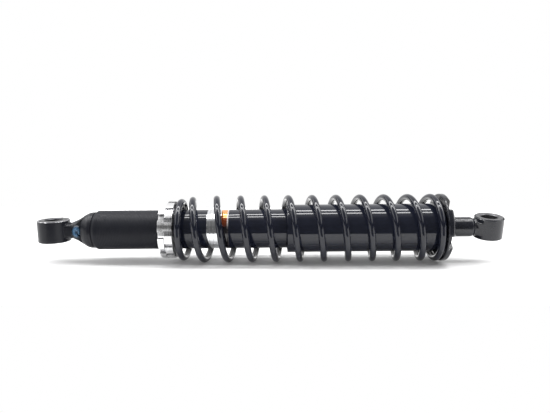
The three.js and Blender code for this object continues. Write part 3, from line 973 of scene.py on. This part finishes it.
def make_lock_ring():
    low, high = LOCK_PLAIN
    notches = spaced(LOCK_NOTCHES, LOCK_FIRST, LOCK_WIDTH, LOCK_NOTCH)
    notches = [n for n in notches if not low < (n[0] + n[1]) / 2 % 360 < high]
    notches.append(LOCK_RELIEF)
    outline = rounded([
        (LOCK_START, RING_BORE, 0.5),
        (LOCK_START, LOCK_RADIUS, 0.55),
        (LOCK_END, LOCK_RADIUS, 0.55),
        (LOCK_END, RING_BORE, 0.5),
    ])
    angles = notch_angles([n[:2] for n in notches])
    lock = lathe("preload_lock_ring", outline, "bright", angles, notched_shape(notches, LOCK_RADIUS))
    # painted shade on the walls of the lock ring's notches
    paint_notch_shade(lock, lambda face: out_of_round(face) > 0.35)
    place_on(lock, "locker", "bright_zinc", "lock_ring")


def make_collar():
    notches = spaced(COLLAR_NOTCHES, COLLAR_FIRST, COLLAR_WIDTH, COLLAR_NOTCH)
    outline = rounded([
        (COLLAR_START, RING_BORE, 0.5),
        (COLLAR_START, COLLAR_RADIUS, 0.5),
        (COLLAR_END, COLLAR_RADIUS, 0.5),
        (COLLAR_END, SPIGOT_RADIUS, 0.2),
        (SPIGOT_END, SPIGOT_RADIUS, 0.6),
        (SPIGOT_END, RING_BORE, 0.3),
    ])
    angles = notch_angles([n[:2] for n in notches])
    shape = notched_shape(notches, COLLAR_RADIUS)
    collar = lathe("preload_adjuster_collar", outline, "bright", angles, shape)
    floor = (COLLAR_NOTCH + 0.9) * MM
    spigot = (SPIGOT_RADIUS + 0.5) * MM
    # painted shade on the notch floors and on the collar's two side faces, towards the lock ring and under
    # the spring
    paint_notch_shade(collar, lambda face: spigot < face.center.yz.length < floor or face.normal.x < -0.8)
    place_on(collar, "adjuster", "bright_zinc", "preload_collar")


def make_thrust_washer():
    radius = span("thrust_washer", 1)[1]
    outline = rounded([
        (WASHER_START, SPIGOT_RADIUS + 0.3, 0.1),
        (WASHER_START, radius, 0.25),
        (WASHER_END, radius, 0.25),
        (WASHER_END, SPIGOT_RADIUS + 0.3, 0.1),
    ], 3)
    washer = lathe("spring_thrust_washer", outline, "washer_steel")
    place_on(washer, "spring_washer", "steel", "thrust_washer")


make_lock_ring()
make_collar()
make_thrust_washer()


# ---------------------------------------------------------------- dust cover and lower spring seat

COVER_RADIUS, COVER_BORE = 23.65, 22.2
COVER_FLANGE, COVER_FLANGE_THICKNESS = 26.2, 2.1
SEAT_FACE_RADIUS = 30.0
SEAT_EDGE = 386.8
SEAT_BORE = 7.1
SEAT_NOTCH = 23.0
SEAT_NOTCH_START = 385.95
SEAT_NOTCHES, SEAT_FIRST, SEAT_WIDTH = 5, -18, 24
SLOPE_STEPS, SLOPE_STEP, SLOPE_POWER = 9, 0.3, 1.6


def make_cover():
    flange_start = COVER_END - COVER_FLANGE_THICKNESS
    outline = rounded([
        (COVER_START, COVER_BORE, 0.4),
        (COVER_START, COVER_RADIUS, 0.6),
        (flange_start, COVER_RADIUS, 1.0),
        (flange_start, COVER_FLANGE, 0.4),
        (COVER_END, COVER_FLANGE, 0.2),
        (COVER_END, COVER_BORE, 0.2),
    ])
    cover = lathe("dust_cover_tube", outline, "cover_gloss")
    place_on(cover, "spring_seat", "gloss_black", "dust_cover")


def make_seat():
    notches = spaced(SEAT_NOTCHES, SEAT_FIRST, SEAT_WIDTH, SEAT_NOTCH)

    def shape(x, radius, angle):
        if x < SEAT_NOTCH_START or radius < SEAT_NOTCH:
            return radius
        deep = max(inside(angle, first, last, 0.9) for first, last, _ in notches)
        return radius - (radius - SEAT_NOTCH) * deep

    fall = SEAT_RADIUS - SEAT_FACE_RADIUS
    slope = [
        (SEAT_EDGE + SLOPE_STEP * i, SEAT_RADIUS - fall * (i / SLOPE_STEPS) ** SLOPE_POWER, 0)
        for i in range(1, SLOPE_STEPS)
    ]
    outline = rounded([
        (SEAT_START, SEAT_BORE, 0.2),
        (SEAT_START, SEAT_RADIUS - 0.5, 0.4),
        (SEAT_START + 0.9, SEAT_RADIUS, 0.5),
        (SEAT_EDGE, SEAT_RADIUS, 0.4),
        *slope,
        (SEAT_END, SEAT_FACE_RADIUS, 0.5),
        (SEAT_END, SEAT_BORE, 0.2),
    ], 3)
    angles = notch_angles([n[:2] for n in notches], (-1.2, -0.7, -0.2, 0.3, 0.8), 3.0)
    seat = lathe("spring_seat_plate", outline, "seat_coat", angles, shape)
    place_on(seat, "spring_seat", "satin_black", "lower_spring_seat")


make_cover()
make_seat()


# ---------------------------------------------------------------- eyes

EYE_RADIUS, EYE_HALF = 15.3, 10.7
LOWER_RADIUS, LOWER_HALF = 14.15, 10.6
BUSH_SLEEVE, BUSH_FLANGE, BUSH_BORE = 9.2, 12.8, 7.9
FLANGE_THICKNESS, FLANGE_PROUD, SINK = 1.4, 0.2, 1.1
VOXEL = 0.32             # how finely the forgings are fused

# The neck and end cap, as (x, radius). Its front and back are milled flat.
CAP_PROFILE = [(14, 7.5), (17.3, 7.5), (25.6, 10.95), (33.6, 15.95), (36.0, 17.2), (38.9, 17.85)]
CAP_RADIUS = 17.85
CAP_END = 42.12
NECK_DEPTH = 8.0
NECK_HALF_HEIGHT = 6.9
FLAT_START, FLAT_END = 15.2, 32.0

# The shank tapers to a round neck, which meets the lower eye inside a widening wedge.
SHANK_START, SHANK_END, TAPER_END, NECK_END = 389.9, 415.0, 417.3, 424.0
SHANK_RADIUS, LOWER_NECK = 10.0, 8.6
WEDGE_ENDS = ((416.8, 6.4), (425.5, 11.8))    # (x, half width)
WEDGE_HALF_HEIGHT = 6.2
LOWER_ANGLE = math.radians(7.5)
LOWER_TURN = Matrix.Translation(Vector((LOWER_EYE_X, 0, 0)) * MM) @ Matrix.Rotation(LOWER_ANGLE, 4, "X")


def eye_blank(radius, half):
    """The eye before it is faced: taller than it will be."""
    tall = half + 1.5
    points, faces = spin_solid([(-tall, 0), (-tall, radius), (tall, radius), (tall, 0)], 96)
    return turn_upright(points), faces


def eye_cutter(radius, half, chamfer):
    """What is machined away: the top and bottom, their outer chamfers, the recesses and the bore."""
    recess = half - (FLANGE_THICKNESS - FLANGE_PROUD) - 0.05
    wide, narrow = BUSH_FLANGE + 0.12, BUSH_SLEEVE + 0.05
    lower = [
        (-half - 3, 0),
        (-half - 3, radius + 1.2),
        (-half + chamfer + 1.2, radius + 1.2),
        (-half, radius - chamfer),
        (-half, wide + 0.25),
        (-half + 0.25, wide),
        (-recess, wide),
        (-recess, narrow),
    ]
    points, faces = spin_solid(lower + [(-z, r) for z, r in reversed(lower)], 128)
    return turn_upright(points), faces


def flat_cutters(far=20):
    """Boxes that mill the neck's front and back flat."""
    half = 6
    middles = (-NECK_DEPTH - half, NECK_DEPTH + half)
    return [box_solid((FLAT_START, y - half, -far), (FLAT_END, y + half, far)) for y in middles]


def make_upper_eye():
    start = CAP_PROFILE[0][0]
    cap = spin_solid([(start, 0), *CAP_PROFILE, (CAP_END + 1, CAP_RADIUS), (CAP_END + 1, 0)])
    web = bevelled_bar(6, 20, NECK_DEPTH, NECK_HALF_HEIGHT, 1.8)
    eye = joined("upper_eye_and_cap", [cap, web, eye_blank(EYE_RADIUS, EYE_HALF)], "cast_coat")
    fused(eye, VOXEL, 12)
    end_cutter = box_solid((CAP_END, -20, -20), (CAP_END + 4, 20, 20))
    cut(eye, eye_cutter(EYE_RADIUS, EYE_HALF, 0.5), end_cutter, *flat_cutters())
    eye.data.materials.append(MATERIALS["faced"])
    for face in eye.data.polygons:
        near_the_eye = face.center.xy.length < (EYE_RADIUS + 0.4) * MM
        if near_the_eye and abs(face.center.z) > (EYE_HALF - 0.45) * MM and abs(face.normal.z) > 0.5:
            face.material_index = 1
    smooth(eye.data, 28)
    place_on(eye, "damper_body", "satin_black", "upper_eye")


def make_lower_eye():
    arm_points, arm_faces = spin_solid([
        (SHANK_START, 0),
        (SHANK_START, SHANK_RADIUS),
        (SHANK_END, SHANK_RADIUS),
        (TAPER_END, LOWER_NECK),
        (NECK_END, LOWER_NECK),
        (NECK_END, 0),
    ])
    arm = ([(x - LOWER_EYE_X, y, z) for x, y, z in arm_points], arm_faces)
    wedge_points = [
        (x - LOWER_EYE_X, side * half, up * WEDGE_HALF_HEIGHT)
        for x, half in WEDGE_ENDS for side in (-1, 1) for up in (-1, 1)
    ]
    wedge = (wedge_points, box_solid((0, 0, 0), (1, 1, 1))[1])
    eye = joined("lower_eye_and_shank", [arm, wedge, eye_blank(LOWER_RADIUS, LOWER_HALF)], "seat_coat")
    fused(eye, VOXEL, 8)
    cut(eye, eye_cutter(LOWER_RADIUS, LOWER_HALF, 0.8))
    smooth(eye.data, 28)
    eye.data.transform(LOWER_TURN)
    place_on(eye, "rod", "satin_black", "lower_eye")


def make_bush(name, node, half, side, body, material, matrix=None):
    """A flanged bush, pressed into the eye from its top (side 1) or its bottom (side -1)."""
    face = half + FLANGE_PROUD
    under = face - FLANGE_THICKNESS
    corners = [
        (0.02, BUSH_BORE, 0),
        (0.02, BUSH_SLEEVE, 0),
        (under, BUSH_SLEEVE, 0),
        (under, BUSH_FLANGE, 0.1),
        (face, BUSH_FLANGE, 0.25),
        (face, BUSH_BORE + SINK, 0.12),
        (face - SINK, BUSH_BORE, 0.2),
    ]
    obj = lathe(name, rounded(corners, 3), material, even_angles(96), None, 25)
    obj.data.transform(Matrix.Rotation(-math.pi / 2 * side, 4, "Y"))
    if matrix is not None:
        obj.data.transform(matrix)
    place_on(obj, body, "bush_steel", node)


make_upper_eye()
make_lower_eye()
for end, side in (("top", 1), ("bottom", -1)):
    upper_names = f"upper_eye_bush_{end}", f"upper_bush_{end}"
    lower_names = f"lower_eye_bush_{end}", f"lower_bush_{end}"
    make_bush(*upper_names, EYE_HALF, side, "damper_body", "bush_upper")
    make_bush(*lower_names, LOWER_HALF, side, "rod", "bush_lower", LOWER_TURN)


# ---------------------------------------------------------------- sealed gas port

SEAL_SPANS = [span("gas_port_seal", axis) for axis in (0, 2)]
SEAL_CENTRE = [sum(ends) / 2 for ends in SEAL_SPANS]
SEAL_HALF = [(high - low) / 2 for low, high in SEAL_SPANS]
SEAL_HEIGHT = 2.9
SCREW_COVER = 1.65       # the lacquer is at least this high over the screw
COVER_REACH = 4.2
PIT_X, PIT_DEPTH, PIT_RADIUS = 0.4, 1.75, 1.15
RIDGE_RADIUS, RIDGE_HEIGHT, RIDGE_WIDTH = 2.7, 0.45, 0.7
SLOT_X, SLOT_Z = 1.2, -1.9
SLOT_RUN_X, SLOT_RUN_Z = 2.7, -2.9
SLOT_DEPTH, SLOT_WIDTH = 1.6, 0.62
RIPPLE = 0.35


def seal_height(x, z):
    """How far the lacquer stands above the flat, x and z being counted from its middle.

    It is a dome with a pit, a ridge round the pit and a slot that runs off to one side.
    """
    share = min(1.0, (x / SEAL_HALF[0]) ** 2 + (z / SEAL_HALF[1]) ** 2)
    height = SEAL_HEIGHT * (1 - share ** 1.5) ** 0.6
    from_pit = math.hypot(x - PIT_X, z)
    height += RIDGE_HEIGHT * math.exp(-((from_pit - RIDGE_RADIUS) / RIDGE_WIDTH) ** 2)
    height -= PIT_DEPTH * math.exp(-(from_pit / PIT_RADIUS) ** 2)
    slot_square = SLOT_RUN_X ** 2 + SLOT_RUN_Z ** 2
    along = ((x - SLOT_X) * SLOT_RUN_X + (z - SLOT_Z) * SLOT_RUN_Z) / slot_square
    along = max(0.0, min(1.0, along))
    from_slot = math.hypot(x - SLOT_X - SLOT_RUN_X * along, z - SLOT_Z - SLOT_RUN_Z * along)
    height -= SLOT_DEPTH * math.exp(-(from_slot / SLOT_WIDTH) ** 2)
    height += RIPPLE * noise.noise(Vector((x * 0.5, z * 0.5, 3.0)))
    over_screw = max(0.0, min(1.0, COVER_REACH - math.hypot(x, z)))
    return max(SCREW_COVER * over_screw, height) * min(1.0, (1 - share) * 8)


def make_seal(rings=26, around_it=96):
    flat = -NECK_DEPTH + 0.05
    points = [(SEAL_CENTRE[0], flat - seal_height(0, 0), SEAL_CENTRE[1])]
    for i in range(1, rings + 1):
        share = i / rings
        for angle in even_angles(around_it):
            ragged = 1 + 0.05 * noise.noise(Vector((math.cos(angle), math.sin(angle), 0.5)) * 1.7) * share
            x = SEAL_HALF[0] * share * math.cos(angle) * ragged
            z = SEAL_HALF[1] * share * math.sin(angle) * ragged
            height = seal_height(x / ragged, z / ragged)
            points.append((SEAL_CENTRE[0] + x, flat - height, SEAL_CENTRE[1] + z))
    faces = [(0, 1 + k, 1 + (k + 1) % around_it) for k in range(around_it)]
    for i in range(rings - 1):
        here, there = 1 + i * around_it, 1 + (i + 1) * around_it
        for k in range(around_it):
            n = (k + 1) % around_it
            faces.append((here + k, there + k, there + n, here + n))
    rim = 1 + (rings - 1) * around_it
    faces.append(tuple(rim + k for k in range(around_it)))
    seal = piece("port_lacquer", points, faces, "lacquer", 60)
    place_on(seal, "damper_body", "blue_sealant", "gas_port_seal")


make_seal()


# ---------------------------------------------------------------- pieces that stay as CAD nodes

CAD_FINISHES = {
    "gas_port_screw": "steel",
    "end_cap_o_ring": "rubber",
    "seal_head": "aluminium",
    "rod_guide_bush": "bronze",
    "oil_seal": "rubber",
    "rod_wiper": "rubber",
    "seal_head_o_ring": "rubber",
    "retaining_ring": "steel",
    "floating_piston": "aluminium",
    "floating_piston_o_ring": "rubber",
    "bump_stop": "foam",
    "bump_stop_washer": "steel",
    "piston_rod": "chrome",
    "piston": "steel",
    "piston_band": "bronze",
    "compression_shims": "steel",
    "rebound_shims": "steel",
    "piston_nut": "steel",
    "top_out_bumper": "rubber",
}

for node, finish in CAD_FINISHES.items():
    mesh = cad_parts[node].data
    mesh.materials.clear()
    mesh.materials.append(MATERIALS[finish])
    smooth(mesh, 30)
